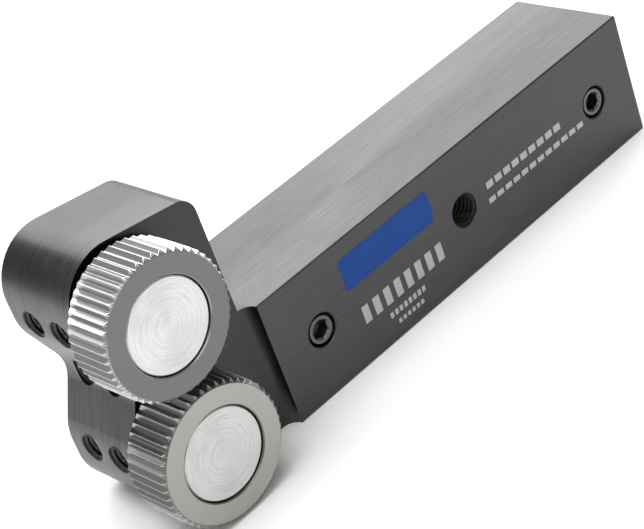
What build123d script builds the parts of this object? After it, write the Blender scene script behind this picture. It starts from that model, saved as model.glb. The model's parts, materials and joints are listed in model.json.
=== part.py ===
"""Twin-wheel knurling holder for a lathe, with a square shank and coolant ports.

Frame: origin at the middle of the shank's underside, +X towards the wheels, +Y towards the side
that the wheels stand on, +Z up. Millimetres. The head's own sizes are measured from its root,
where it leaves the shank, and from the centre height, midway between the two wheels.
"""
from build123d import *
from math import asin, atan2, cos, degrees, hypot, pi, radians, sin, tan
import os

os.makedirs("parts", exist_ok=True)

# Shank
shank_side = 20.0
shank_length = 77.2
edge_break = 0.2
head_root = shank_length / 2
centre_rise = 0.6             # of the wheels' middle above the shank's top
centre_height = shank_side + centre_rise

# Head
head_near_step = 2.0          # how far the wheel side of the head is set in from the shank
head_thickness = 15.0
head_back = 1.8               # distance of its upright back face from the root
head_radius = 7.5             # of each lobe
lobe_growth = 2.5             # how far each lobe is drawn out beyond its axle
waist_radius = 4.5
waist_depth = 20.6            # distance of the waist's lowest point from the root
top_slope = 9.0               # degrees
back_corner_radius = 2.9
root_fillet = 2.0
head_near = shank_side / 2 - head_near_step
head_far = head_near - head_thickness
head_middle = (head_near + head_far) / 2

# Axles: one above and one below the centre height
axle_x = 16.8                 # from the root
axle_offset = 10.35           # above or below the centre height
pin_radius = 3.0
pin_bore_play = 0.01
pin_head_radius = 6.38
pin_head_thickness = 2.0
pin_end_gap = 0.3             # the pin stops short of the head's far face
pin_flat_depth = 0.3
pin_flat_length = 11.4

# Wheels
wheel_radius = 10.0
wheel_width = 8.0
tooth_count = 50
tooth_depth = 0.54
crest_width = 0.1
groove_floor_width = 0.06
tooth_bevel_length = 0.62
tooth_bevel_depth = 0.58
wheel_bore_play = 0.02
recess_radius = 6.55
recess_depth = 2.3
recess_chamfer = 0.15
head_below_face = 0.25        # how far the pin's head lies below the wheel's face
side_play = 0.05
washer_thickness = 1.1
washer_radius = 6.0
washer_bore_play = 0.05

# Threads, drawn as rings on the screws and as plain holes of the full diameter
m4 = {"radius": 2.0, "pitch": 0.7, "socket": 2.0}    # socket across flats
m5 = {"radius": 2.5, "pitch": 0.8, "socket": 2.5}
m6 = {"radius": 3.0, "pitch": 1.0, "socket": 3.0}
thread_play = 0.02
thread_height = 0.6134        # of the pitch
socket_depth = 2.0
mouth_chamfer = 0.15

# Front screws, in pairs either side of the head's middle plane
screw_pair_spacing = 6.0
axle_screw_length = 4.0
jet_length = 5.0
jet_recess = 1.3
jet_drill_radius = 0.75

# Coolant ports and bores
port_from_root = 8.4
port_pitch = 30.0
port_drill_radius = 2.1       # the M5 tapping drill
port_thread_depth = 6.8
plug_length = 6.0
plug_recess = 0.3
gallery_radius = 2.5          # the M6 tapping drill
gallery_end = 6.5             # past the root
feed_radius = 1.2
feed_spread = 0.9             # half the distance between the two feeds where they meet the gallery
jet_bore_depth = 8.0
end_thread_depth = 8.0
end_plug_recess = 0.5

# Marking plate
plate_size = (18.2, 5.1)
plate_corner = 0.7
plate_thickness = 0.2
plate_pocket = 0.15
plate_from_root = 23.5
plate_below_top = 5.2
plate_play = 0.02

port_height = shank_side / 2
port_places = {name: head_root - port_from_root - i * port_pitch
               for i, name in enumerate(("front", "middle", "rear"))}
pair_places = {"inboard": head_middle + screw_pair_spacing / 2,
               "outboard": head_middle - screw_pair_spacing / 2}
axle_heights = {"upper": centre_height + axle_offset, "lower": centre_height - axle_offset}
axle_line = head_root + axle_x
wheel_back = head_near + washer_thickness + side_play
wheel_face = wheel_back + wheel_width
pin_head_face = wheel_face - head_below_face
pin_length = pin_head_face - head_far - pin_end_gap
screw_point = axle_line + pin_radius - pin_flat_depth


def at(x, y, z, towards):
    """A plane whose normal points towards a direction."""
    return Plane(origin=(x, y, z), z_dir=towards)


def rod(start, towards, radius, length):
    """A round bar from a point along a direction."""
    return at(*start, towards) * Cylinder(radius, length, align=(Align.CENTER, Align.CENTER, Align.MIN))


def bore_between(start, end, radius):
    """A round bar from one point to another."""
    run = Vector(*end) - Vector(*start)
    return rod(start, run.normalized(), radius, run.length)


def turned(outline):
    """A body turned about Z, from points (radius, height)."""
    return revolve(Plane.XZ * make_face(Polyline(*outline, close=True)), Axis.Z)


def mouth(start, inwards, radius):
    """The small countersink at a threaded hole's mouth."""
    wide = radius + mouth_chamfer
    cone = turned([(0, -mouth_chamfer), (wide + mouth_chamfer, -mouth_chamfer),
                   (radius, mouth_chamfer), (0, mouth_chamfer)])
    return at(*start, inwards) * cone


def ring_thread(radius, pitch, low, high):
    """Points (radius, height) of a thread drawn as rings between two heights."""
    rings = int((high - low) / pitch)
    core = radius - thread_height * pitch
    points = []
    for i in range(rings):
        start = low + i * pitch
        points += [(radius, start + 0.06 * pitch), (core, start + 0.44 * pitch),
                   (core, start + 0.56 * pitch), (radius, start + 0.94 * pitch)]
    return points


def set_screw(thread, length, drill_radius=0.0):
    """A hexagon-socket set screw along Z: point at 0, socket end at its length."""
    radius, pitch, socket = thread["radius"] - thread_play, thread["pitch"], thread["socket"]
    core = radius - thread_height * pitch
    lead = radius - core
    outline = [(0, 0), (core, 0)]
    outline += ring_thread(radius, pitch, lead, length - lead)
    outline += [(radius, length - lead), (core + 0.1, length), (0, length)]
    hexagon = extrude(RegularPolygon(socket / 2, 6, major_radius=False), socket_depth)
    body = turned(outline) - Pos(0, 0, length - socket_depth) * hexagon
    flare = turned([(0, -0.25), (socket / 2 + 0.05, -0.25), (socket / 2 + 0.3, 0.01), (0, 0.01)])
    body -= Pos(0, 0, length) * flare
    if drill_radius:
        body -= Cylinder(drill_radius, 3 * length)
    return body


def head_outline():
    """The head's side outline: upright back, sloping top, two lobes and a waist between them."""
    rise = radians(top_slope)
    lobe = axle_offset + lobe_growth
    # The sloping top is tangent to the upper lobe, and its corner is rounded.
    crown = Vector(axle_x - head_radius * sin(rise), lobe + head_radius * cos(rise))
    corner_height = crown.Y - (crown.X - head_back) * tan(rise)
    reach = back_corner_radius * tan((pi / 2 - rise) / 2)
    corner_low = Vector(head_back, corner_height - reach)
    corner_high = Vector(head_back + reach * cos(rise), corner_height + reach * sin(rise))
    # A straight flank is tangent to the lobe on one side and to the waist on the other.
    waist = Vector(waist_depth + waist_radius, 0)
    run = waist - Vector(axle_x, axle_offset)
    lean = pi / 2 - asin((head_radius + waist_radius) / run.length)
    flank = degrees(atan2(run.Y, run.X) + lean)
    across = Vector(cos(radians(flank)), sin(radians(flank)))
    flank_start = Vector(axle_x, axle_offset) + across * head_radius
    flank_end = waist - across * waist_radius
    # The underside runs from the shank's lower edge, tangent to the lower lobe.
    drop = centre_height - lobe
    belly = asin(head_radius / hypot(axle_x, drop)) - atan2(drop, axle_x)
    keel = Vector(axle_x - head_radius * sin(belly), -lobe - head_radius * cos(belly))
    low_start, low_end = (Vector(point.X, -point.Y) for point in (flank_end, flank_start))
    return [
        Polyline((0, -centre_height), (0, -centre_rise), (head_back, -centre_rise), corner_low),
        CenterArc((head_back + back_corner_radius, corner_low.Y), back_corner_radius,
                  180, -(90 - top_slope)),
        Line(corner_high, crown),
        CenterArc((axle_x, lobe), head_radius, 90 + top_slope, -(90 + top_slope)),
        Line((axle_x + head_radius, lobe), (axle_x + head_radius, axle_offset)),
        CenterArc((axle_x, axle_offset), head_radius, 0, flank),
        Line(flank_start, flank_end),
        CenterArc(waist, waist_radius, 180 + flank, -2 * flank),
        Line(low_start, low_end),
        CenterArc((axle_x, -axle_offset), head_radius, -flank, flank),
        Line((axle_x + head_radius, -axle_offset), (axle_x + head_radius, -lobe)),
        CenterArc((axle_x, -lobe), head_radius, 0, -(90 + degrees(belly))),
        Line(keel, (0, -centre_height)),
    ]


def head():
    """The two-lobed head, thinner than the shank."""
    side = Plane(origin=(head_root, head_near, centre_height), x_dir=(1, 0, 0), z_dir=(0, -1, 0))
    return extrude(side * make_face(head_outline()), head_thickness)


def shank():
    """The square shank, its long edges and rear edges broken."""
    section = chamfer(Rectangle(shank_side, shank_side).vertices(), edge_break)
    start = at(-shank_length / 2, 0, shank_side / 2, (1, 0, 0))
    bar = extrude(start * section, shank_length)
    return chamfer(bar.faces().sort_by(Axis.X)[0].edges(), edge_break)


def root_blend(face_y, outwards):
    """The hollow fillet between the head's side and the end of the shank."""
    square = Pos(root_fillet / 2, outwards * root_fillet / 2) * Rectangle(root_fillet, root_fillet)
    hollow = square - Pos(root_fillet, outwards * root_fillet) * Circle(root_fillet)
    return extrude(Pos(head_root, face_y, 0) * hollow, shank_side)


def axle_cuts():
    """Bores for the axle pins and threaded holes for the screws that hold them."""
    cuts = []
    front = axle_line + head_radius
    for height in axle_heights.values():
        cuts.append(rod((axle_line, head_near + 1, height), (0, -1, 0), pin_radius + pin_bore_play,
                        head_thickness + 2))
        for y in pair_places.values():
            cuts.append(rod((front + 1, y, height), (-1, 0, 0), m4["radius"], head_radius + 1))
            cuts.append(mouth((front, y, height), (-1, 0, 0), m4["radius"]))
    return cuts


def coolant_cuts():
    """The long gallery, the ports drilled across it, and a feed up to each jet in the waist."""
    rear = -shank_length / 2
    gallery_tip = head_root + gallery_end
    cuts = [rod((rear - 1, 0, port_height), (1, 0, 0), gallery_radius, gallery_tip - rear + 1),
            rod((rear - 1, 0, port_height), (1, 0, 0), m6["radius"], end_thread_depth + 1),
            mouth((rear, 0, port_height), (1, 0, 0), m6["radius"])]
    for x in port_places.values():
        cuts.append(rod((x, shank_side / 2 + 1, port_height), (0, -1, 0), port_drill_radius,
                        shank_side + 2))
        for side in (1, -1):
            cuts.append(rod((x, side * (shank_side / 2 + 1), port_height), (0, -side, 0), m5["radius"],
                            port_thread_depth + 1))
            cuts.append(mouth((x, side * shank_side / 2, port_height), (0, -side, 0), m5["radius"]))
    jet_end = head_root + waist_depth - jet_bore_depth
    for y, side in zip(pair_places.values(), (1, -1)):
        cuts.append(rod((head_root + waist_depth + 2, y, centre_height), (-1, 0, 0), m4["radius"],
                        jet_bore_depth + 2))
        cuts.append(bore_between((jet_end + 1, y, centre_height),
                                 (gallery_tip - 1.5, side * feed_spread, port_height), feed_radius))
    return cuts


def marking_place():
    """The plane on the shank's wheel side where the marking plate lies."""
    return Plane(origin=(head_root - plate_from_root, shank_side / 2, shank_side - plate_below_top),
                 x_dir=(-1, 0, 0), z_dir=(0, 1, 0))


def holder_body():
    """Shank and head in one piece, with every bore, thread and pocket."""
    body = shank() + head()
    body += root_blend(head_near, 1)
    body += root_blend(head_far, -1)
    for cut in axle_cuts() + coolant_cuts():
        body -= cut
    pocket = RectangleRounded(*(size + 2 * plate_play for size in plate_size), plate_corner + plate_play)
    return body - extrude(marking_place() * pocket, -plate_pocket)


def marking_plate():
    """A plain plate, standing a little proud of its pocket."""
    flat = Plane(marking_place().location * Pos(0, 0, -plate_pocket))
    return extrude(flat * RectangleRounded(*plate_size, plate_corner), plate_thickness)


def toothed_section():
    """The wheel's end outline: straight V grooves round its rim, with narrow crests and floors."""
    pitch = 2 * pi / tooth_count
    crest = crest_width / wheel_radius / 2
    floor = groove_floor_width / wheel_radius / 2
    root_radius = wheel_radius - tooth_depth
    points = []
    for i in range(tooth_count):
        for angle, radius in ((-crest, wheel_radius), (crest, wheel_radius),
                              (pitch / 2 - floor, root_radius), (pitch / 2 + floor, root_radius)):
            turn = i * pitch + angle
            points.append((radius * cos(turn), radius * sin(turn)))
    return make_face(Polyline(*points, close=True))


def knurl_wheel(height):
    """A straight-toothed wheel with bevelled tooth ends, a bore and a recess for the pin's head."""
    bevel_radius = wheel_radius - tooth_bevel_depth
    bore = pin_radius + wheel_bore_play
    floor = wheel_width - recess_depth
    blank = turned([(bore, 0), (bevel_radius, 0), (wheel_radius, tooth_bevel_length),
                    (wheel_radius, wheel_width - tooth_bevel_length), (bevel_radius, wheel_width),
                    (recess_radius + recess_chamfer, wheel_width),
                    (recess_radius, wheel_width - recess_chamfer), (recess_radius, floor),
                    (bore, floor)])
    wheel = blank & extrude(toothed_section(), wheel_width)
    return Plane(origin=(axle_line, wheel_back, height), x_dir=(1, 0, 0), z_dir=(0, 1, 0)) * wheel


def axle_pin(height):
    """A headed pin with a flat along its front for the two screws."""
    neck = pin_length - pin_head_thickness
    rim = 0.15
    pin = turned([(0, 0), (pin_radius - rim, 0), (pin_radius, rim), (pin_radius, neck),
                  (pin_head_radius, neck), (pin_head_radius, pin_length - rim),
                  (pin_head_radius - rim, pin_length), (0, pin_length)])
    pin = at(axle_line, head_far + pin_end_gap, height, (0, 1, 0)) * pin
    flat = Box(pin_radius, pin_flat_length, 2 * pin_radius, align=(Align.MIN, Align.CENTER, Align.CENTER))
    return pin - Pos(screw_point, head_middle, height) * flat


def thrust_washer(height):
    """A thin ring between the wheel and the head."""
    ring = Circle(washer_radius) - Circle(pin_radius + washer_bore_play)
    return extrude(at(axle_line, head_near, height, (0, 1, 0)) * ring, washer_thickness)


def main():
    """Make every part and write it under its own name."""
    parts = {"holder_body": holder_body(), "marking_plate": marking_plate()}
    for name, height in axle_heights.items():
        parts[f"{name}_knurl_wheel"] = knurl_wheel(height)
        parts[f"{name}_axle_pin"] = axle_pin(height)
        parts[f"{name}_thrust_washer"] = thrust_washer(height)
        for place, y in pair_places.items():
            screw = set_screw(m4, axle_screw_length)
            parts[f"{name}_axle_screw_{place}"] = at(screw_point, y, height, (1, 0, 0)) * screw
    for place, y in pair_places.items():
        jet = set_screw(m4, jet_length, jet_drill_radius)
        start = head_root + waist_depth - jet_recess - jet_length
        parts[f"coolant_jet_{place}"] = at(start, y, centre_height, (1, 0, 0)) * jet
    for name, x in port_places.items():
        for place, side in (("near", 1), ("far", -1)):
            if (name, place) == ("middle", "near"):
                continue
            start = side * (shank_side / 2 - plug_recess - plug_length)
            plug = set_screw(m5, plug_length)
            parts[f"{place}_{name}_port_plug"] = at(x, start, port_height, (0, side, 0)) * plug
    end_start = -shank_length / 2 + end_plug_recess + plug_length
    end_plug = set_screw(m6, plug_length)
    parts["rear_end_plug"] = at(end_start, 0, port_height, (-1, 0, 0)) * end_plug
    for name, shape in parts.items():
        export_step(shape, f"parts/{name}.step")


main()
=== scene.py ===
import json
from math import pi, radians

import bpy
import numpy as np
from mathutils import Euler, Matrix, Vector


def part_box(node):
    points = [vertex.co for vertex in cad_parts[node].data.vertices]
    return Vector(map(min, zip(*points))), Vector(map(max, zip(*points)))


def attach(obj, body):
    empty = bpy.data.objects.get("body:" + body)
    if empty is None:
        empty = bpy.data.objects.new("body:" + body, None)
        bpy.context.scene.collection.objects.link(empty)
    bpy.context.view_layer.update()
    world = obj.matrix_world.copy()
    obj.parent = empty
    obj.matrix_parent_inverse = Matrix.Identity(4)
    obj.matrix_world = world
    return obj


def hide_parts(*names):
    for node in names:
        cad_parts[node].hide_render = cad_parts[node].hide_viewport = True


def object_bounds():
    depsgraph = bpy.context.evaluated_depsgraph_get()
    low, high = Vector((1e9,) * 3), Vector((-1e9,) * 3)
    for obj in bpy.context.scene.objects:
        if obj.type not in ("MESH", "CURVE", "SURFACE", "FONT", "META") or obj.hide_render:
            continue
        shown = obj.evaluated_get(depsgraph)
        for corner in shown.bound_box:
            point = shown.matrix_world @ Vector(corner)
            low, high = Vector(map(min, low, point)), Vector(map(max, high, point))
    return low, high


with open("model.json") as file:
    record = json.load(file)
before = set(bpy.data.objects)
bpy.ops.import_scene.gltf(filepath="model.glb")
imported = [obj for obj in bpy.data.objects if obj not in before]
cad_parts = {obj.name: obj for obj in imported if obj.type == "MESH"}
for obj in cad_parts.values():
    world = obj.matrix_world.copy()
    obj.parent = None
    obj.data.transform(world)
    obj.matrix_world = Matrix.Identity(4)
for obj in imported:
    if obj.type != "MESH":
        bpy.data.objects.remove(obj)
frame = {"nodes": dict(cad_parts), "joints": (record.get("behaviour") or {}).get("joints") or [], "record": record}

cadLow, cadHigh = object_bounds()
mm = 0.001
nodes = frame["nodes"]
mounts = {mount["name"]: mount for mount in frame["record"]["mounts"]}
axles = {joint["name"].split("_")[0]: Vector(joint["pos_m"]) for joint in frame["joints"]}
centreHeight = (axles["upper"].z + axles["lower"].z) / 2
# the shank is centred on X = 0, so the head's root is as far forward as the shank's end is back
headRoot = -cadLow.x
# the shank is square and centred on Y = 0, so its wheel side stands half its height out
shankSeat, shankTop = (Vector(mounts[name]["pos_m"]) for name in ("shank_seat", "shank_top"))
shankFace = (shankTop.z - shankSeat.z) / 2
forward, rearward, nearSide, farSide = (1, 0, 0), (-1, 0, 0), (0, 1, 0), (0, -1, 0)
print("frame loaded:", len(nodes), "nodes")


# new pieces: grids of points worked out as whole arrays
def makePiece(name, points, faces, body, slotName, material, stands=(), sharp=32):
    # edges that turn by more than sharp degrees stay hard; all the faces are turned over together if
    # the volume they enclose comes out negative
    mesh = bpy.data.meshes.new(name)
    mesh.from_pydata(points.tolist(), [], faces)
    mesh.calc_loop_triangles()
    corners = np.empty(len(mesh.loop_triangles) * 3, np.int32)
    mesh.loop_triangles.foreach_get("vertices", corners)
    a, b, c = points[corners.reshape(-1, 3)].transpose(1, 0, 2)
    if np.einsum("ij,ij->", a, np.cross(b, c)) < 0:
        mesh.flip_normals()
    mesh.shade_smooth()
    mesh.set_sharp_from_angle(angle=radians(sharp))
    mesh.materials.append(material)
    piece = bpy.data.objects.new(name, mesh)
    bpy.context.scene.collection.objects.link(piece)
    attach(piece, body)
    if stands:
        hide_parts(*stands)
    return piece


def evenTurn(columns):
    return np.arange(columns) * 2 * pi / columns


def turnedPiece(name, rows, turn, origin, axis, closed, **rest):
    # rows is a list of (radius, height) in millimetres, each a number or one value for each turn:
    # point = origin + height * axis + radius * (cos(turn) * across + sin(turn) * (axis x across)).
    # A closed loop of rows joins up with itself; an open one is shut by a point on the axis at each end.
    columns = len(turn)
    radius = np.array([np.broadcast_to(row[0], columns) for row in rows], float)
    height = np.array([np.broadcast_to(row[1], columns) for row in rows], float)
    axis = np.array(axis, float)
    across = np.array((0, 0, 1.0) if axis[0] else (1.0, 0, 0))
    ring = np.cos(turn)[:, None] * across + np.sin(turn)[:, None] * np.cross(axis, across)
    points = (radius[..., None] * ring + height[..., None] * axis).reshape(-1, 3)
    here = np.arange(len(rows) * columns).reshape(len(rows), columns)
    low, high = (here, np.roll(here, -1, 0)) if closed else (here[:-1], here[1:])
    faces = np.stack([low, np.roll(low, -1, 1), np.roll(high, -1, 1), high], -1).reshape(-1, 4).tolist()
    if not closed:
        first, last, tip = here[0], here[-1], len(points)
        faces += np.stack([np.full(columns, tip), np.roll(first, -1), first], -1).tolist()
        faces += np.stack([np.full(columns, tip + 1), last, np.roll(last, -1)], -1).tolist()
        points = np.concatenate([points, [height[0].mean() * axis, height[-1].mean() * axis]])
    return makePiece(name, np.array(origin) + points * mm, faces, **rest)


# material helpers: a node is made with its inputs given as values or as other nodes' outputs
def addNode(tree, kind, inputs=(), **settings):
    node = tree.nodes.new("ShaderNode" + kind)
    for name, value in settings.items():
        setattr(node, name, value)
    for name, value in dict(inputs).items():
        if isinstance(value, bpy.types.NodeSocket):
            tree.links.new(value, node.inputs[name])
        else:
            node.inputs[name].default_value = value
    return node


def newMaterial(name, metallic=1.0, roughness=0.35, **sockets):
    material = bpy.data.materials.new(name)
    material.use_nodes = True
    shader = material.node_tree.nodes["Principled BSDF"]
    shader.inputs["Metallic"].default_value = metallic
    shader.inputs["Roughness"].default_value = roughness
    for socket, value in sockets.items():
        shader.inputs[socket.replace("_", " ")].default_value = value
    return material, material.node_tree, shader


def grey(level):
    return (level, level, level, 1.0)


def shaded(colour, amount):
    return tuple(level * amount for level in colour) + (1.0,)


def maths(tree, operation, a, b=0.0):
    return addNode(tree, "Math", {0: a, 1: b}, operation=operation).outputs[0]


def ramp(tree, value, low, high, toLow=0.0, toHigh=1.0):
    # straight change from toLow to toHigh while value goes from low to high
    node = addNode(tree, "MapRange", {"Value": value, "From Min": low, "From Max": high,
                                      "To Min": toLow, "To Max": toHigh})
    return node.outputs["Result"]


def blendColour(tree, factor, a, b):
    node = addNode(tree, "Mix", {"Factor": factor}, data_type="RGBA")
    for name, value in (("A", a), ("B", b)):
        socket = [s for s in node.inputs if s.name == name and s.type == "RGBA"][0]
        if isinstance(value, bpy.types.NodeSocket):
            tree.links.new(value, socket)
        else:
            socket.default_value = value
    return [s for s in node.outputs if s.type == "RGBA"][0]


def timesVector(tree, a, b):
    return addNode(tree, "VectorMath", {0: a, 1: b}, operation="MULTIPLY").outputs[0]


def objectPoint(tree, origin=(0, 0, 0)):
    # (place - origin) in millimetres
    place = addNode(tree, "TexCoord").outputs["Object"]
    moved = addNode(tree, "VectorMath", {0: place, 1: tuple(origin)}, operation="SUBTRACT").outputs[0]
    return timesVector(tree, moved, (1 / mm, 1 / mm, 1 / mm))


def facing(tree, axis):
    # how squarely the surface faces either way along that axis, from 0 to 1
    normal = addNode(tree, "TexCoord").outputs["Normal"]
    return maths(tree, "ABSOLUTE", addNode(tree, "SeparateXYZ", {0: normal}).outputs[axis])


def noise(tree, vector, scale, detail=2.0, roughness=0.5):
    node = addNode(tree, "TexNoise", {"Vector": vector, "Scale": scale, "Detail": detail,
                                      "Roughness": roughness})
    return node.outputs["Fac"]


def addBump(tree, shader, height, strength, distance):
    bump = addNode(tree, "Bump", {"Height": height, "Strength": strength, "Distance": distance * mm})
    tree.links.new(bump.outputs["Normal"], shader.inputs["Normal"])


# blackened steel: ground lengthwise on the shank, and along the outline on the head, whose sides are
# milled and take a darker grey, partly that finish and partly painted shade. Each noise is (scale, detail,
# roughness), each bump is (strength, depth in millimetres).
blackenedSteel = {
    "ground": (0.066, 0.114), "milledAndShaded": (0.0416, 0.0676), "contrast": 0.1, "sideCalm": 0.45,
    "paintedShankSideShade": 0.84, "paintedHeadTopShade": 0.85, "paintedHeadFrontLight": 1.4,
    "streak": (9.0, 3.0, 0.65), "band": (2.4, 2.0, 0.5), "cloud": (0.12, 3.0, 0.5),
    "streakShare": 0.6, "bandShare": 0.3, "cloudShare": 0.1, "alongRate": 0.02,
    "sideStart": (0.8, 0.95), "frontStart": (0.75, 0.97), "headStart": (0.3, 0.9),
    "toneSpan": (0.3, 0.7), "roughness": (0.30, 0.42), "anisotropy": 0.55, "bump": (0.25, 0.02),
}


def makeBlackenedSteel():
    # tone = a weighted sum of fine streaks and broad bands, both stretched along the grinding, and soft
    # clouds. The ground colour goes from dark to light over the contrast about the middle tone, and is
    # then multiplied by a painted light and shade for its part of the body, set by the way each face points.
    plan = blackenedSteel
    material, tree, shader = newMaterial("blackenedSteel", Anisotropic=plan["anisotropy"])
    x, y, z = addNode(tree, "SeparateXYZ", {0: objectPoint(tree)}).outputs
    onSide = ramp(tree, facing(tree, "Y"), *plan["sideStart"])
    onFront = ramp(tree, facing(tree, "X"), *plan["frontStart"])
    onHead = ramp(tree, x, *(headRoot / mm + start for start in plan["headStart"]))
    heightRate = ramp(tree, onHead, 0.0, 1.0, 1.0, plan["alongRate"])
    lengthwise = addNode(tree, "CombineXYZ", {0: maths(tree, "MULTIPLY", x, plan["alongRate"]), 1: y,
                                              2: maths(tree, "MULTIPLY", z, heightRate)}).outputs[0]
    streak = noise(tree, lengthwise, *plan["streak"])
    band = noise(tree, lengthwise, *plan["band"])
    cloud = noise(tree, objectPoint(tree), *plan["cloud"])
    tone = maths(tree, "ADD", maths(tree, "MULTIPLY", streak, plan["streakShare"]),
                 maths(tree, "MULTIPLY", band, plan["bandShare"]))
    tone = maths(tree, "ADD", tone, maths(tree, "MULTIPLY", cloud, plan["cloudShare"]))
    calm = ramp(tree, onSide, 0.0, 1.0, 1.0, plan["sideCalm"])
    spread = maths(tree, "MULTIPLY", maths(tree, "SUBTRACT", tone, 0.5), calm)
    dark, light = (grey(level) for level in plan["ground"])
    ground = blendColour(tree, ramp(tree, spread, -plan["contrast"], plan["contrast"]), dark, light)
    # painted light and shade: the head's front lighter and its top darker, and the shank's sides darker, by the
    # way each faces the lamps
    paintedHeadLightAndShade = blendColour(tree, onFront, grey(plan["paintedHeadTopShade"]), grey(plan["paintedHeadFrontLight"]))
    paintedShankShade = blendColour(tree, onSide, grey(1.0), grey(plan["paintedShankSideShade"]))
    ground = timesVector(tree, ground, blendColour(tree, onHead, paintedShankShade, paintedHeadLightAndShade))
    # the head's sides: a darker grey, partly their milled finish and partly painted shade from the wheels and the
    # step
    dark, light = (grey(level) for level in plan["milledAndShaded"])
    milledAndShaded = blendColour(tree, band, dark, light)
    onMilledAndShadedSide = maths(tree, "MULTIPLY", onSide, onHead)
    tree.links.new(blendColour(tree, onMilledAndShadedSide, ground, milledAndShaded), shader.inputs["Base Color"])
    tree.links.new(ramp(tree, tone, *plan["toneSpan"], *plan["roughness"]), shader.inputs["Roughness"])
    addBump(tree, shader, tone, *plan["bump"])
    return material


# knurl wheels' steel: ground end faces, cut teeth, and painted highlights on the crests and tooth ends
wheelSteel = {
    # each wheel's greys are painted reflection and shade: the upper wheel's face darker, and its teeth, bevels and
    # edges lighter, than the lower's
    "upper": {"face": (0.162, 0.162, 0.162), "teeth": (0.50, 0.495, 0.485),
              "bevel": (0.30, 0.30, 0.295), "paintedCrestHighlight": 0.9, "paintedEndHighlight": 0.65},
    "lower": {"face": (0.345, 0.34, 0.318), "teeth": (0.34, 0.335, 0.33),
              "bevel": (0.17, 0.17, 0.165), "paintedCrestHighlight": 0.6, "paintedEndHighlight": 0.3},
    "grain": (3.0, 0.4, 1.0), "fine": (3.0, 2.0, 0.5), "variation": 0.02,
    "bevelStart": (0.4, 0.6), "faceStart": (0.985, 0.998),
    "toneSpan": (0.3, 0.7), "roughness": (0.28, 0.33), "crestRoughness": 0.2, "bump": (0.02, 0.01),
}


def makeWheelSteel(which):
    # the more squarely a surface faces along the axle, the more it is a tooth's bevelled end and then
    # the wheel's face; the two edge attributes lay the painted highlight colours over that
    plan = wheelSteel
    tones = plan[which]
    material, tree, shader = newMaterial(which + "WheelSteel")
    grain = timesVector(tree, objectPoint(tree, axles[which]), plan["grain"])
    fine = noise(tree, grain, *plan["fine"])
    alongAxle = facing(tree, "Y")
    face, teeth, bevel = (
        blendColour(tree, fine, shaded(tones[part], 1 - plan["variation"]),
                    shaded(tones[part], 1 + plan["variation"]))
        for part in ("face", "teeth", "bevel"))
    colour = blendColour(tree, ramp(tree, alongAxle, *plan["bevelStart"]), teeth, bevel)
    colour = blendColour(tree, ramp(tree, alongAxle, *plan["faceStart"]), colour, face)
    # painted highlights: the crests' and tooth ends' edges are laid over in their own greys
    paintedEndHighlight, paintedCrestHighlight = (addNode(tree, "Attribute", attribute_name=name).outputs["Fac"]
                          for name in ("paintedEndHighlight", "paintedCrestHighlight"))
    colour = blendColour(tree, paintedEndHighlight, colour, grey(tones["paintedEndHighlight"]))
    colour = blendColour(tree, paintedCrestHighlight, colour, grey(tones["paintedCrestHighlight"]))
    tree.links.new(colour, shader.inputs["Base Color"])
    rough = maths(tree, "ADD", ramp(tree, fine, *plan["toneSpan"], *plan["roughness"]),
                  maths(tree, "MULTIPLY", paintedCrestHighlight, plan["crestRoughness"]))
    tree.links.new(rough, shader.inputs["Roughness"])
    addBump(tree, shader, fine, *plan["bump"])
    return material


# turned pin heads: fine rings about the axle, each head's greys from darkest to lightest; the lower head's are
# darker than the upper's as painted shade
turnedSteel = {"upper": (0.50, 0.80), "lower": (0.43, 0.71), "ring": (24.0, 3.0, 0.6), "wander": 0.012,
               "ringSpan": (0.35, 0.65), "roughness": 0.32, "anisotropy": 0.92, "bump": (0.3, 0.01)}


def makeTurnedSteel(which):
    # a noise of the distance from the axle, with a little of the place across it so the rings wander;
    # the tangent points straight out from the axle, so the sheen spreads across the rings
    plan = turnedSteel
    material, tree, shader = newMaterial(which + "TurnedSteel", roughness=plan["roughness"],
                                         Anisotropic=plan["anisotropy"])
    flat = timesVector(tree, objectPoint(tree, axles[which]), (1, 0, 1))
    radius = addNode(tree, "VectorMath", {0: flat}, operation="LENGTH").outputs["Value"]
    split = addNode(tree, "SeparateXYZ", {0: flat})
    wanderX, wanderZ = (maths(tree, "MULTIPLY", split.outputs[name], plan["wander"]) for name in "XZ")
    around = addNode(tree, "CombineXYZ", {0: radius, 1: wanderX, 2: wanderZ}).outputs[0]
    ring = noise(tree, around, *plan["ring"])
    dark, light = (grey(level) for level in plan[which])
    tree.links.new(blendColour(tree, ramp(tree, ring, *plan["ringSpan"]), dark, light),
                   shader.inputs["Base Color"])
    outwards = addNode(tree, "VectorMath", {0: flat}, operation="NORMALIZE").outputs[0]
    tree.links.new(outwards, shader.inputs["Tangent"])
    addBump(tree, shader, ring, *plan["bump"])
    return material


# plain metals, mottled by a fine noise: darkest grey, lightest grey, roughness
plainMetals = {
    "socketScrewSteel": (0.05, 0.09, 0.35), "plugSteel": (0.10, 0.15, 0.35),
    "washerSteel": (0.22, 0.32, 0.4), "holeWall": (0.05, 0.08, 0.45),
    "portWall": (0.022, 0.036, 0.45), "etchedGrey": (0.40, 0.48, 0.55),
}
mottle = {"spots": (2.0, 3.0, 0.5), "span": (0.3, 0.7), "roughnessShare": 0.15, "bump": (0.1, 0.01)}


def makePlainMetal(name):
    dark, light, roughness = plainMetals[name]
    swing = roughness * mottle["roughnessShare"]
    material, tree, shader = newMaterial(name, roughness=roughness)
    spots = noise(tree, objectPoint(tree), *mottle["spots"])
    tree.links.new(blendColour(tree, spots, grey(dark), grey(light)), shader.inputs["Base Color"])
    tree.links.new(ramp(tree, spots, *mottle["span"], roughness - swing, roughness + swing),
                   shader.inputs["Roughness"])
    addBump(tree, shader, spots, *mottle["bump"])
    return material


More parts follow.
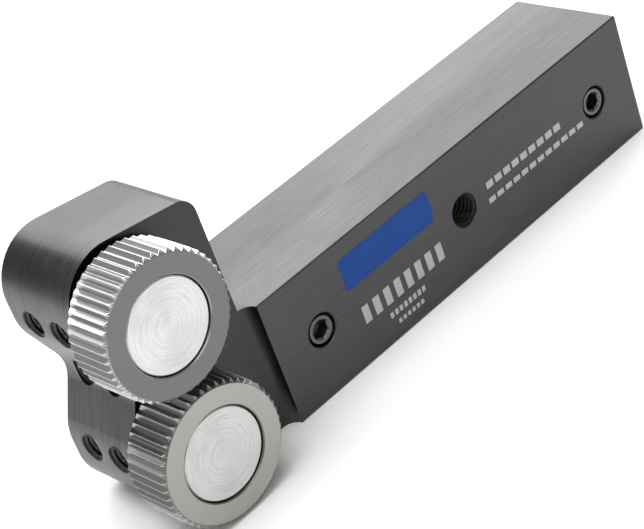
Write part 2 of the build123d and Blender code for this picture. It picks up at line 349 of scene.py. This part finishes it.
# the marking plate's enamel, from its darkest to its lightest blue
blueEnamel = {"dark": (0.004, 0.045, 0.22, 1), "light": (0.007, 0.06, 0.28, 1), "roughness": 0.3,
              "specular": 0.15, "drift": (0.4, 3.0, 0.5), "ripple": (3.0, 2.0, 0.5),
              "bump": (0.05, 0.01)}


def makeEnamel():
    plan = blueEnamel
    material, tree, shader = newMaterial("blueEnamel", metallic=0.0, roughness=plan["roughness"],
                                         Specular_IOR_Level=plan["specular"])
    drift = noise(tree, objectPoint(tree), *plan["drift"])
    tree.links.new(blendColour(tree, drift, plan["dark"], plan["light"]), shader.inputs["Base Color"])
    addBump(tree, shader, noise(tree, objectPoint(tree), *plan["ripple"]), *plan["bump"])
    return material


def paint(node, material):
    node.data.materials.clear()
    node.data.materials.append(material)


metals = {name: makePlainMetal(name) for name in plainMetals}
paint(nodes["holder_body"], makeBlackenedSteel())
for which in axles:
    paint(nodes[which + "_thrust_washer"], metals["washerSteel"])
print("finishes made")


# knurl wheels: straight grooves round the rim, bevelled tooth ends, a recess for the pin's head.
# Sizes are in millimetres; crest and floor are shares of half a tooth, and the steps are shares of
# the crest, the flank, a tooth end's height and the width, where a point of the grid stands.
# A tooth end's broken edge takes edgeShare of its height at most, and rimGuard sets a ring of points
# just inside the rim, which keeps the teeth's shading off the faces.
wheelPlan = {
    "teeth": 50, "depth": 0.54, "crest": 0.055, "floor": 0.06, "flankPower": 1.2, "crown": 0.012,
    "crestSteps": (0, 0.5, 1.0), "flankSteps": (0.04, 0.2, 0.4, 0.6, 0.8, 0.93, 1.0),
    "endLength": 0.54, "endDepth": 0.6, "endPower": 1.15, "endSteps": (0.35, 0.65),
    "edgeBreak": 0.04, "edgeShare": 0.12, "middleSteps": (0.3, 0.5, 0.7), "rimGuard": 0.05,
    "boreRadius": 3.02, "boreChamfer": 0.1, "faceRing": 6.0, "floorRing": 4.5,
    "recessRadius": 6.55, "recessDepth": 2.3, "recessChamfer": 0.15, "sharp": 22,
}


def knurlWheel(which):
    # across half a tooth the rim is a crest that falls by the crown as the square of the way across it,
    # then a flank that falls by 1 - (1 - way down) ^ flankPower to a flat floor. A tooth's end stands
    # back from the face by endLength * (height over the plain rim / endDepth) ^ endPower. Two
    # attributes mark the edges that get a painted highlight: the crests and the tooth ends.
    plan = wheelPlan
    node = which + "_knurl_wheel"
    low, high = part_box(node)
    radius, width = (high.x - low.x) / 2 / mm, (high.y - low.y) / mm
    crest, floorStart = plan["crest"], 1 - plan["floor"]
    half = np.concatenate([crest * np.array(plan["crestSteps"]),
                           crest + (floorStart - crest) * np.array(plan["flankSteps"])])
    share = np.concatenate([half, [1.0], half[:0:-1]])
    place = np.concatenate([half, [1.0], 2 - half[:0:-1]]) / 2
    dip = 1 - (1 - np.clip((share - crest) / (floorStart - crest), 0, 1)) ** plan["flankPower"]
    fall = np.clip(share / crest, 0, 1) ** 2 * plan["crown"] + (plan["depth"] - plan["crown"]) * dip
    rim = radius - plan["endDepth"]
    rise = np.tile(radius - fall, plan["teeth"]) - rim
    turn = ((np.arange(plan["teeth"])[:, None] + place) * 2 * pi / plan["teeth"]).ravel()
    onCrest = np.tile(share <= crest, plan["teeth"]).astype(float)

    def endPoint(part):
        # that share of the way up a tooth's end: radius and distance in from the face
        return rim + rise * part, plan["endLength"] * (rise * part / plan["endDepth"]) ** plan["endPower"]

    edge, reach = endPoint(1.0)
    edgeBreak = plan["edgeBreak"]
    breakShare = np.minimum(edgeBreak / rise, plan["edgeShare"])
    # each row is (radius, distance from the face, crest's painted highlight, tooth end's painted highlight)
    toothEnd = [(rim, 0, 0, 0)] + [(*endPoint(step), onCrest, 0) for step in plan["endSteps"]]
    toothEnd += [(*endPoint(1 - 2 * breakShare), onCrest, 0), (*endPoint(1 - breakShare), onCrest, 1),
                 (edge, reach + edgeBreak, onCrest, 1), (edge, reach + 2 * edgeBreak, onCrest, 0)]
    bore, boreChamfer = plan["boreRadius"], plan["boreChamfer"]
    recess, chamfer = plan["recessRadius"], plan["recessChamfer"]
    floor = width - plan["recessDepth"]
    backFace = [(bore, boreChamfer), (bore + boreChamfer, 0), (plan["faceRing"], 0),
                (rim - plan["rimGuard"], 0)]
    frontFace = [(rim - plan["rimGuard"], width), (recess + chamfer, width), (recess, width - chamfer),
                 (recess, floor + chamfer), (recess - chamfer, floor), (plan["floorRing"], floor),
                 (bore + boreChamfer, floor), (bore, floor - boreChamfer)]
    rows = [(*point, 0, 0) for point in backFace] + toothEnd
    rows += [(edge, width * step, onCrest, 0) for step in plan["middleSteps"]]
    rows += [(out, width - depth, *paintedHighlight) for out, depth, *paintedHighlight in toothEnd[::-1]]
    rows += [(*point, 0, 0) for point in frontFace]
    wheel = turnedPiece(which + "_wheel", [row[:2] for row in rows], turn,
                        (axles[which].x, low.y, axles[which].z), nearSide, True, body=which + "_wheel",
                        slotName="knurl_steel", material=makeWheelSteel(which), stands=[node],
                        sharp=plan["sharp"])
    for name, column in (("paintedCrestHighlight", 2), ("paintedEndHighlight", 3)):
        paintedHighlight = np.concatenate([np.broadcast_to(row[column], turn.shape) for row in rows]).astype(float)
        wheel.data.attributes.new(name, "FLOAT", "POINT").data.foreach_set("value", paintedHighlight)


# axle pins: a plain shank with a flat for the screws, and a broad head turned in fine rings
pinPlan = {
    "radius": 3.0, "headRadius": 6.38, "headThickness": 2.0, "chamfer": 0.15, "columns": 128,
    "flatDepth": 0.3, "flatLength": 11.4, "smallestCosine": 0.5,
    "ringPitch": 0.12, "ringDepth": 0.0022, "shallowest": 0.5, "seed": 7,
}


def axlePin(which):
    # the flat's radius is its distance from the axis over the cosine of the turn, held to the shank's;
    # the head falls and rises once a ring, each ring by its own depth
    plan = pinPlan
    node = which + "_axle_pin"
    low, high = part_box(node)
    length, radius, chamfer = (high.y - low.y) / mm, plan["radius"], plan["chamfer"]
    head, pitch = plan["headRadius"], plan["ringPitch"]
    turn = evenTurn(plan["columns"])
    cosine = np.maximum(np.cos(turn), plan["smallestCosine"])
    flat = np.minimum(radius, (radius - plan["flatDepth"]) / cosine)
    innerScrew, outerScrew = (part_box(which + "_axle_screw_" + place) for place in ("inboard", "outboard"))
    start = ((innerScrew[0].y + outerScrew[1].y) / 2 - low.y) / mm - plan["flatLength"] / 2
    end = start + plan["flatLength"]
    neck = length - plan["headThickness"]
    rows = [(radius - chamfer, 0), (radius, chamfer), (radius, start), (flat, start), (flat, end),
            (radius, end), (radius, neck), (head, neck), (head, length - chamfer), (head - chamfer, length)]
    rings = int((head - chamfer) / pitch)
    depths = np.random.default_rng(plan["seed"]).uniform(plan["shallowest"], 1.0, rings)
    for i, depth in enumerate(depths * plan["ringDepth"]):
        outer = (rings - i) * pitch
        rows += [(outer, length), (outer - pitch / 2, length - depth)]
    turnedPiece(which + "_pin", rows, turn, (axles[which].x, low.y, axles[which].z), nearSide, False,
                body="holder", slotName="turned_pin", material=makeTurnedSteel(which), stands=[node])


for which in axles:
    knurlWheel(which)
    axlePin(which)
print("wheels and pins made")


# hexagon-socket set screws, plugs and drilled jets, in millimetres. The thread's depth and the fades
# are shares of the pitch, threadFlat is the share of half a pitch that is flat at its top and again at
# its bottom, and hexagonCorner is a corner's distance from the axis over a flat's.
screwSizes = {"M4": {"radius": 2.0, "pitch": 0.7, "socket": 2.0},
              "M5": {"radius": 2.5, "pitch": 0.8, "socket": 2.5},
              "M6": {"radius": 3.0, "pitch": 1.0, "socket": 3.0}}
screwPlan = {
    "columns": 72, "rowsPerPitch": 12, "threadDepth": 0.54, "threadFlat": 1 / 6, "fade": 0.3,
    "play": 0.02, "noseShare": 0.8, "endBreak": 0.05, "cupDepth": 0.35, "cupRadius": 0.2,
    "socketDepth": 2.0, "socketFlare": 0.25, "flareWidth": 0.12, "hexagonCorner": 1.155,
    "drillRadius": 0.3, "drillDepth": 0.25, "jetRadius": 0.75,
}
holePlan = {"fade": 0.4, "inset": 0.01, "skin": 0.06, "fewestRows": 6,
            "lobeRadius": 7.5, "waistDepth": 20.6, "mouthDepth": 0.15}


def threadRadius(radius, pitch, height, turn, inward):
    # full radius less a triangle wave of (height / pitch - turn), flat at its top and bottom, which
    # climbs one pitch a turn
    depth, flat = screwPlan["threadDepth"] * pitch, screwPlan["threadFlat"]
    wave = np.abs(2 * ((height / pitch - turn / (2 * pi)) % 1) - 1)
    ridge = np.clip((wave - flat) / (1 - 2 * flat), 0, 1)
    return radius - depth * (ridge if inward else 1 - ridge)


def setScrew(node, size, axis, material, drilled=False):
    # a helical thread that fades out at both ends; the socket's radius = half the width across flats
    # over the cosine of the turn from the nearest flat's middle
    plan, thread = screwPlan, screwSizes[size]
    low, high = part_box(node)
    along = int(np.argmax(np.abs(axis)))
    length = (high[along] - low[along]) / mm
    origin = list((low + high) / 2)
    origin[along] = low[along] if axis[along] > 0 else high[along]
    turn = evenTurn(plan["columns"])
    radius, pitch, socket = thread["radius"] - plan["play"], thread["pitch"], thread["socket"] / 2
    lead = plan["threadDepth"] * pitch
    core, endBreak = radius - lead, plan["endBreak"]
    hexagon = socket / np.cos((turn + pi / 6) % (pi / 3) - pi / 6)
    heights = np.linspace(lead, length - lead, int((length - 2 * lead) / pitch * plan["rowsPerPitch"]))
    fade = np.clip(np.minimum(heights - lead, length - lead - heights) / (plan["fade"] * pitch), 0, 1)
    socketFloor = length - plan["socketDepth"]
    rows = [(core * plan["noseShare"], 0.0), (core, endBreak)]
    rows += [(core + (threadRadius(radius, pitch, height, turn, False) - core) * part, height)
             for height, part in zip(heights, fade)]
    rows += [(core, length - endBreak), (core - endBreak, length),
             (socket * plan["hexagonCorner"] + plan["flareWidth"], length),
             (hexagon, length - plan["socketFlare"]), (hexagon, socketFloor)]
    if drilled:
        rows += [(plan["jetRadius"], socketFloor), (plan["jetRadius"], 0.0)]
    else:
        rows = [(plan["cupRadius"], plan["cupDepth"])] + rows
        rows.append((plan["drillRadius"], socketFloor - plan["drillDepth"]))
    turnedPiece(node + "_screw", rows, turn, origin, axis, drilled, body="holder",
                slotName="screw_steel", material=material, stands=[node])


def holeThread(name, size, mouth, axis, depth, material):
    # the tapped wall of a hole: the thread's ridge inside, a plain skin just under the hole's wall outside
    plan, thread = holePlan, screwSizes[size]
    turn = evenTurn(screwPlan["columns"])
    radius, pitch = thread["radius"], thread["pitch"]
    count = max(int(depth / pitch * screwPlan["rowsPerPitch"]), plan["fewestRows"])
    heights = np.linspace(0, depth, count)
    fade = np.clip(heights / (plan["fade"] * pitch), 0, 1)
    rows = [(radius - plan["inset"] - (radius - threadRadius(radius, pitch, height, turn, True)) * part,
             height) for height, part in zip(heights, fade)]
    rows += [(radius + plan["skin"], depth), (radius + plan["skin"], 0.0)]
    turnedPiece(name, rows, turn, mouth, axis, True, body="holder", slotName="blackened_steel",
                material=material)


def frontScrew(node, holeName, mouthX, height, drilled=False):
    # a screw in the head's front, and the tapped wall from its socket's end out to the hole's mouth
    setScrew(node, "M4", forward, metals["socketScrewSteel"], drilled)
    low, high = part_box(node)
    holeThread(holeName, "M4", (mouthX, (low.y + high.y) / 2, height), rearward, (mouthX - high.x) / mm,
               metals["holeWall"])


for which, axle in axles.items():
    lobeMouth = axle.x + (holePlan["lobeRadius"] - holePlan["mouthDepth"]) * mm
    for place in ("inboard", "outboard"):
        frontScrew(which + "_axle_screw_" + place, which + "_axle_hole_" + place, lobeMouth, axle.z)
for place in ("inboard", "outboard"):
    frontScrew("coolant_jet_" + place, "jet_hole_" + place, headRoot + holePlan["waistDepth"] * mm,
               centreHeight, drilled=True)
for node in [name for name in nodes if name.endswith("port_plug")]:
    setScrew(node, "M5", nearSide if node.startswith("near") else farSide, metals["plugSteel"])
setScrew("rear_end_plug", "M6", rearward, metals["plugSteel"])
port = mounts["coolant_port"]
portMouth = (port["pos_m"][0], shankFace - holePlan["mouthDepth"] * mm, port["pos_m"][2])
holeThread("open_port_thread", "M5", portMouth, farSide, port["dims"]["length_mm"], metals["portWall"])
print("screws, plugs, jets and tapped holes made")


# flat tabs with rounded corners, for the plate and the etched marks
tabShape = {"cornerSteps": 6, "smallestBend": 0.02}


def tabPiece(name, tabs, levels, **rest):
    # tabs are rows of (x, z, width, height, corner); each is a ring of four quarter circles at every
    # level of (inset, y), and the first and last rings are closed by a flat face. Millimetres.
    x, z, width, height, corner = np.array(tabs, float).T[:, :, None, None]
    inset, y = np.array(levels, float).T[:, None, :, None]
    steps = tabShape["cornerSteps"]
    quarter = np.repeat(np.arange(4), steps)
    angle = (quarter + np.tile(np.linspace(0, 1, steps), 4)) * pi / 2
    signX, signZ = np.where(quarter % 3 == 0, 1, -1), np.where(quarter < 2, 1, -1)
    bend = np.maximum(corner - inset, tabShape["smallestBend"])
    outX = x + signX * (width / 2 - inset - bend) + bend * np.cos(angle)
    outZ = z + signZ * (height / 2 - inset - bend) + bend * np.sin(angle)
    points = np.stack([outX, np.broadcast_to(y, outX.shape), outZ], -1)
    count, layers, ring = outX.shape
    here = np.arange(count * layers * ring).reshape(count, layers, ring)
    low, high = here[:, :-1], here[:, 1:]
    faces = np.stack([low, np.roll(low, -1, 2), np.roll(high, -1, 2), high], -1).reshape(-1, 4).tolist()
    faces += here[:, 0, ::-1].tolist() + here[:, -1].tolist()
    return makePiece(name, points.reshape(-1, 3) * mm, faces, **rest)


# each line of marks: x from and to, z of its middle, height of a bar, number of bars, share of gap
markPlan = {"depth": 0.02, "proud": 0.012, "bevel": 0.012, "bevelStart": 0.5, "corner": 0.06,
            "lines": [(6.3, 23.0, 7.25, 2.8, 8, 0.42), (11.4, 18.7, 4.1, 0.9, 8, 0.35),
                      (12.3, 17.6, 2.45, 0.7, 6, 0.35), (-21.8, -4.9, 10.85, 1.1, 9, 0.25),
                      (-26.4, -4.6, 8.4, 0.85, 12, 0.25)]}


def etchedMarks():
    # bars of equal width set evenly along each line, in place of any lettering
    plan = markPlan
    face = shankFace / mm
    tabs = []
    for start, end, z, height, bars, gap in plan["lines"]:
        step = (end - start) / (bars - gap)
        width = step * (1 - gap)
        tabs += [(start + width / 2 + i * step, z, width, height, plan["corner"]) for i in range(bars)]
    levels = [(0, face - plan["depth"]), (0, face + plan["proud"] * plan["bevelStart"]),
              (plan["bevel"], face + plan["proud"])]
    tabPiece("etched_marks", tabs, levels, body="holder", slotName="blackened_steel",
             material=metals["etchedGrey"])


platePlan = {"corner": 0.7, "edge": 0.05, "rim": 0.3, "fieldDepth": 0.04}


def markingPlate():
    # a low rim with a broken outer edge round a slightly sunk field
    plan = platePlan
    low, high = (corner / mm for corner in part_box("marking_plate"))
    middle, size = (low + high) / 2, high - low
    levels = [(0, low.y), (0, high.y - plan["edge"]), (plan["edge"], high.y), (plan["rim"], high.y),
              (plan["rim"] + plan["edge"], high.y - plan["fieldDepth"])]
    tabPiece("plate", [(middle.x, middle.z, size.x, size.z, plan["corner"])], levels, body="holder",
             slotName="blue_plate", material=makeEnamel(), stands=["marking_plate"])


etchedMarks()
markingPlate()
print("plate and marks made")

# metres, and greys from 0 to 1
studio = {"floorSize": 4.0, "floorTone": 0.82, "floorRoughness": 0.9, "worldTone": 0.40}


def makeStudio():
    # a square floor at the holder's underside, under an even grey sky
    half = studio["floorSize"] / 2
    mesh = bpy.data.meshes.new("floor")
    mesh.from_pydata([(-half, -half, 0), (half, -half, 0), (half, half, 0), (-half, half, 0)], [],
                     [(0, 1, 2, 3)])
    floor = bpy.data.objects.new("floor", mesh)
    bpy.context.scene.collection.objects.link(floor)
    pale, _, shader = newMaterial("paleFloor", metallic=0.0, roughness=studio["floorRoughness"])
    shader.inputs["Base Color"].default_value = grey(studio["floorTone"])
    paint(floor, pale)
    world = bpy.data.worlds.new("studio")
    world.use_nodes = True
    world.node_tree.nodes["Background"].inputs["Color"].default_value = grey(studio["worldTone"])
    bpy.context.scene.world = world
    bpy.context.scene.view_settings.view_transform = "Standard"


# bearing is counted from +X towards +Y and rise from the floor, in degrees; the rest is in metres
panels = {
    "backPanel": {"bearing": 233, "rise": 35, "distance": 0.9, "size": (1.1, 0.75), "watts": 8.8},
    "frontPanel": {"bearing": 50, "rise": 55, "distance": 1.1, "size": (1.2, 1.2), "watts": 5},
    "overPanel": {"bearing": 20, "rise": 80, "distance": 1.2, "size": (0.8, 0.8), "watts": 10.5},
}


def makePanel(name):
    # a soft panel at its distance from the holder's middle, turned to face it
    plan = panels[name]
    lamp = bpy.data.lights.new(name, "AREA")
    lamp.shape = "RECTANGLE"
    lamp.size, lamp.size_y = plan["size"]
    lamp.energy = plan["watts"]
    panel = bpy.data.objects.new(name, lamp)
    away = Euler((0, -radians(plan["rise"]), radians(plan["bearing"]))).to_matrix() @ Vector((1, 0, 0))
    place = (cadLow + cadHigh) / 2 + away * plan["distance"]
    panel.matrix_world = Matrix.Translation(place) @ away.to_track_quat("Z", "Y").to_matrix().to_4x4()
    bpy.context.scene.collection.objects.link(panel)


# place and lens in millimetres, angles in degrees
view = {"place": (154.81, 203.35, 156.64), "azimuth": 146.44, "elevation": 30.75, "roll": -20.51,
        "lens": 111.8, "sensor": 36.0, "nearest": 0.01}


def placeCamera():
    # turned about its own line of sight, then raised, then swung round
    lens = bpy.data.cameras.new("camera")
    lens.lens, lens.sensor_width, lens.clip_start = view["lens"], view["sensor"], view["nearest"]
    camera = bpy.data.objects.new("camera", lens)
    turn = (Matrix.Rotation(radians(view["azimuth"]), 4, "Z")
            @ Matrix.Rotation(pi / 2 - radians(view["elevation"]), 4, "X")
            @ Matrix.Rotation(radians(view["roll"]), 4, "Z"))
    camera.matrix_world = Matrix.Translation(Vector(view["place"]) * mm) @ turn
    bpy.context.scene.collection.objects.link(camera)
    bpy.context.scene.camera = camera


makeStudio()
for name in panels:
    makePanel(name)
placeCamera()
print("floor, lights and camera placed")
